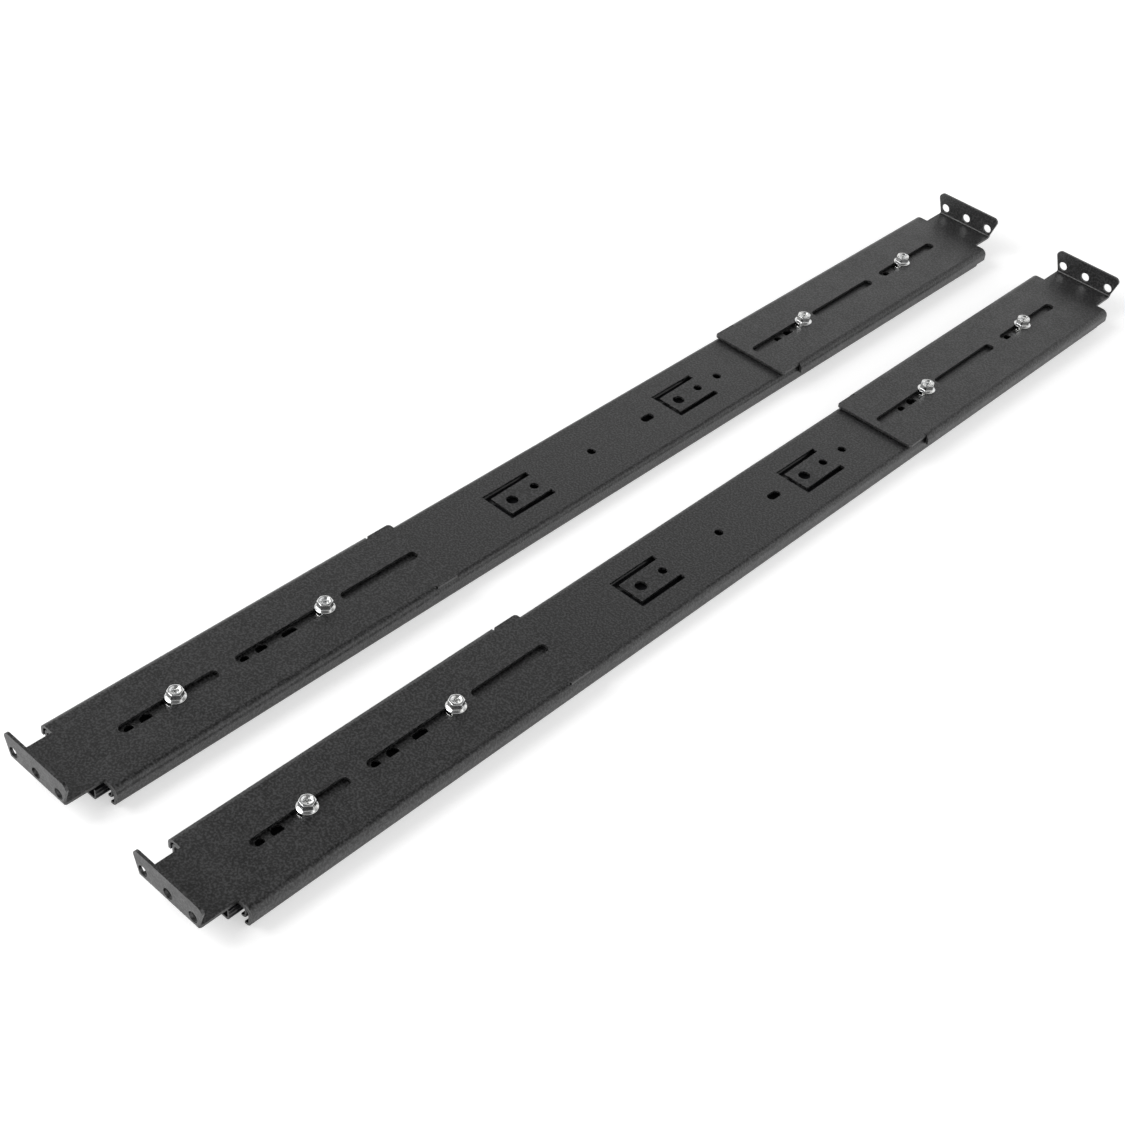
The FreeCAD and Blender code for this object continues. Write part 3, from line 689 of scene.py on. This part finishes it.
    def add_to(self, work: bmesh.types.BMesh, seat: Vector, turn: float) -> None:
        """Skin one screw into a mesh.

        Args:
            work: the mesh being built.
            seat: centre of the flange's underside.
            turn: how far the screw was driven round.
        """
        rings = self.points(turn)
        verts = [[work.verts.new(Vector(p) + seat) for p in ring] for ring in rings]
        for lower, upper in zip(verts, verts[1:]):
            for k in range(self.spokes):
                after = (k + 1) % self.spokes
                work.faces.new((lower[k], lower[after], upper[after], upper[k]))
        work.faces.new(list(reversed(verts[0])))
        work.faces.new(verts[-1])


@dataclass
class ClampingScrews:
    """The four screws that clamp one rail's brackets, two to a bracket."""

    side: Side
    screw: FlangeScrew = field(default_factory=FlangeScrew)
    corner_turns: tuple[float, ...] = (-6.0, -8.5, -5.0, -7.0)
    crisp_above: float = 50.0

    def build(self, shop: FinishShop) -> list[bpy.types.Object]:
        """Build both pairs of screws on the outer member.

        Args:
            shop: where the finish comes from.

        Returns:
            The two new pieces.
        """
        made = []
        for index, end in enumerate(("front", "rear")):
            node = self.side.node(f"{end}_screws")
            low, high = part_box(node)
            reach = self.screw.flange_d / 2 * MM
            seat_z = high.z - self.screw.head_height * MM
            work = bmesh.new()
            for which, y in enumerate((low.y + reach, high.y - reach)):
                turn = math.radians(self.corner_turns[2 * index + which])
                self.screw.add_to(work, Vector(((low.x + high.x) / 2, y, seat_z)), turn)
            for face in work.faces:
                face.smooth = True
            mesh = bpy.data.meshes.new(node)
            work.to_mesh(mesh)
            work.free()
            mesh.set_sharp_from_angle(angle=math.radians(self.crisp_above))
            piece = add_object(node + "_turned", mesh)
            shop.coat(piece, Coat.ZINC)
            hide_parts(node)
            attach(piece, "outer_members")
            made.append(piece)
        return made


# ---------------------------------------------------------------- one rail
@dataclass
class ServerRail:
    """One telescopic rail with everything on it."""

    side: Side
    shop: FinishShop
    frame_finishes: dict[str, Coat] = field(default_factory=lambda: {
        "inner_member": Coat.BLACK,
        "outer_balls": Coat.BALL,
        "inner_balls": Coat.BALL,
        "lever_spring": Coat.SPRING,
    })

    def sub_assemblies(self) -> list[EasedPieces | ClampingScrews]:
        """List the rail's sub-assemblies from the outside in."""
        small = EdgeEase(radius_mm=0.12)
        fine = EdgeEase(radius_mm=0.1, steps=1)
        soft = EdgeEase(radius_mm=0.4, steps=3)
        side = self.side
        return [
            EarBrackets(side),
            ClampingScrews(side),
            EasedPieces(side, {"outer_member": Coat.POWDER}, "outer_members"),
            EasedPieces(side, {"front_clinch_nuts": Coat.ZINC, "rear_clinch_nuts": Coat.ZINC,
                               "outer_stop_stud": Coat.ZINC}, "outer_members", small),
            EasedPieces(side, {"rear_buffer": Coat.RUBBER}, "outer_members", soft),
            EasedPieces(side, {"intermediate_member": Coat.BLACK}, side.node("intermediate")),
            EasedPieces(side, {"intermediate_stop_stud": Coat.ZINC, "lever_catch": Coat.ZINC,
                               "catch_rivet": Coat.ZINC}, side.node("intermediate"), small),
            EasedPieces(side, {"middle_buffer": Coat.RUBBER}, side.node("intermediate"), soft),
            EasedPieces(side, {"pivot_rivet": Coat.ZINC}, side.node("inner"), small),
            EasedPieces(side, {"release_lever": Coat.LEVER}, side.node("lever")),
            EasedPieces(side, {"outer_ball_cage": Coat.CAGE}, side.node("outer_cage"), fine),
            EasedPieces(side, {"inner_ball_cage": Coat.CAGE}, side.node("inner_cage"), fine),
        ]

    def build(self) -> None:
        """Build every sub-assembly and dress what the frame keeps."""
        for part in self.sub_assemblies():
            for piece in part.build(self.shop):
                LOG.info("%s: %d faces", piece.name, len(piece.data.polygons))
        for name, coat in self.frame_finishes.items():
            kept = frame["nodes"][self.side.node(name)]
            self.shop.coat(kept, coat)
            LOG.info("%s keeps its frame mesh", kept.name)


# ---------------------------------------------------------------- studio
@dataclass
class Softbox:
    """A square area lamp that faces a point on the rails."""

    name: str
    place: Place
    target: Place
    size: float
    power: float

    def hang(self) -> bpy.types.Object:
        """Hang the lamp."""
        lamp = bpy.data.lights.new(self.name, "AREA")
        lamp.shape = "SQUARE"
        lamp.size = self.size
        lamp.energy = self.power
        made = bpy.data.objects.new(self.name, lamp)
        made.location = self.place
        aim = Vector(self.target) - Vector(self.place)
        made.rotation_euler = aim.to_track_quat("-Z", "Y").to_euler()
        bpy.context.scene.collection.objects.link(made)
        return made


@dataclass
class Studio:
    """Pale floor, soft surroundings, lamps and the camera."""

    floor_half: float = 8.0
    floor_colour: Colour = (0.80, 0.80, 0.80)
    floor_lift: float = 0.48
    sky_stops: tuple[tuple[float, float], ...] = ((0.0, 0.90), (0.46, 1.10), (0.74, 0.20), (1.0, 0.12))
    azimuth: float = 39.04
    elevation: float = 40.94
    roll: float = 6.217
    camera_place: Place = (0.45674, -0.63442, 0.62995)
    sensor_mm: float = 36.0
    lens_mm: float = 61.39
    seen_from: float = 0.01
    seen_to: float = 50.0
    softboxes: tuple[Softbox, ...] = (
        Softbox("main_softbox", (-1.0, -1.2, 1.4), (0.0, 0.0, 0.0), 1.2, 22.0),
        Softbox("side_softbox", (1.6, 0.4, 1.3), (0.0, 0.0, 0.0), 2.0, 6.0),
    )

    def lay_floor(self) -> None:
        """Lay a pale floor that reads white and keeps the rails' shadow."""
        bench = ShaderBench("pale_floor")
        matt = bench.add("ShaderNodeBsdfDiffuse")
        matt.inputs["Color"].default_value = (*self.floor_colour, 1.0)
        path = bench.add("ShaderNodeLightPath")
        seen = bench.add("ShaderNodeMath", operation="MAXIMUM")
        bench.join(path.outputs["Is Camera Ray"], seen.inputs[0])
        bench.join(path.outputs["Is Glossy Ray"], seen.inputs[1])
        seen_too = bench.add("ShaderNodeMath", operation="MAXIMUM")
        bench.join(seen.outputs[0], seen_too.inputs[0])
        bench.join(path.outputs["Is Transmission Ray"], seen_too.inputs[1])
        lift = bench.add("ShaderNodeMath", operation="MULTIPLY")
        lift.inputs[1].default_value = self.floor_lift
        bench.join(seen_too.outputs[0], lift.inputs[0])
        glow = bench.add("ShaderNodeEmission")
        bench.join(lift.outputs[0], glow.inputs["Strength"])
        both = bench.add("ShaderNodeAddShader")
        bench.join(matt.outputs[0], both.inputs[0])
        bench.join(glow.outputs[0], both.inputs[1])
        bench.join(both.outputs[0], bench.output.inputs["Surface"])
        half = self.floor_half
        mesh = bpy.data.meshes.new("floor")
        outline = [(-half, -half, 0), (half, -half, 0), (half, half, 0), (-half, half, 0)]
        mesh.from_pydata(outline, [], [(0, 1, 2, 3)])
        mesh.materials.append(bench.material)
        add_object("floor", mesh)

    def surround(self) -> None:
        """Set the surroundings, bright at the horizon and softer overhead."""
        world = bpy.data.worlds.new("surroundings")
        bpy.context.scene.world = world
        world.use_nodes = True
        tree = world.node_tree
        tree.nodes.clear()
        place = tree.nodes.new("ShaderNodeTexCoord")
        parts = tree.nodes.new("ShaderNodeSeparateXYZ")
        ramp = tree.nodes.new("ShaderNodeValToRGB")
        ramp.color_ramp.interpolation = "EASE"
        while len(ramp.color_ramp.elements) < len(self.sky_stops):
            ramp.color_ramp.elements.new(0.5)
        for element, (height, level) in zip(ramp.color_ramp.elements, self.sky_stops):
            element.position = height
            element.color = (level, level, level, 1.0)
        back = tree.nodes.new("ShaderNodeBackground")
        out = tree.nodes.new("ShaderNodeOutputWorld")
        tree.links.new(place.outputs["Generated"], parts.inputs[0])
        tree.links.new(parts.outputs["Z"], ramp.inputs["Fac"])
        tree.links.new(ramp.outputs["Color"], back.inputs["Color"])
        tree.links.new(back.outputs[0], out.inputs["Surface"])

    def set_camera(self) -> None:
        """Set the camera by its place, direction and roll."""
        around, up = math.radians(self.azimuth), math.radians(self.elevation)
        level_share = math.cos(up)
        forward = Vector((
            -math.sin(around) * level_share, math.cos(around) * level_share, -math.sin(up),
        ))
        level = forward.cross(Vector((0, 0, 1))).normalized()
        upright = level.cross(forward)
        tilt = math.radians(self.roll)
        right = level * math.cos(tilt) + upright * math.sin(tilt)
        top = right.cross(forward)
        turn = Matrix((right, top, -forward)).transposed()
        data = bpy.data.cameras.new("camera")
        data.sensor_width = self.sensor_mm
        data.lens = self.lens_mm
        data.clip_start, data.clip_end = self.seen_from, self.seen_to
        camera = bpy.data.objects.new("camera", data)
        camera.matrix_world = Matrix.Translation(self.camera_place) @ turn.to_4x4()
        bpy.context.scene.collection.objects.link(camera)
        bpy.context.scene.camera = camera

    def set_up(self) -> None:
        """Set up the whole studio."""
        bpy.context.scene.view_settings.view_transform = "Standard"
        self.lay_floor()
        self.surround()
        for softbox in self.softboxes:
            softbox.hang()
        self.set_camera()


def main() -> None:
    """Build both rails and the studio."""
    logging.basicConfig(level=logging.INFO, format="%(message)s")
    shop = FinishShop()
    shop.mix()
    for side in Side:
        ServerRail(side, shop).build()
    Studio().set_up()


if __name__ == "__main__":
    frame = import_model()
    main()
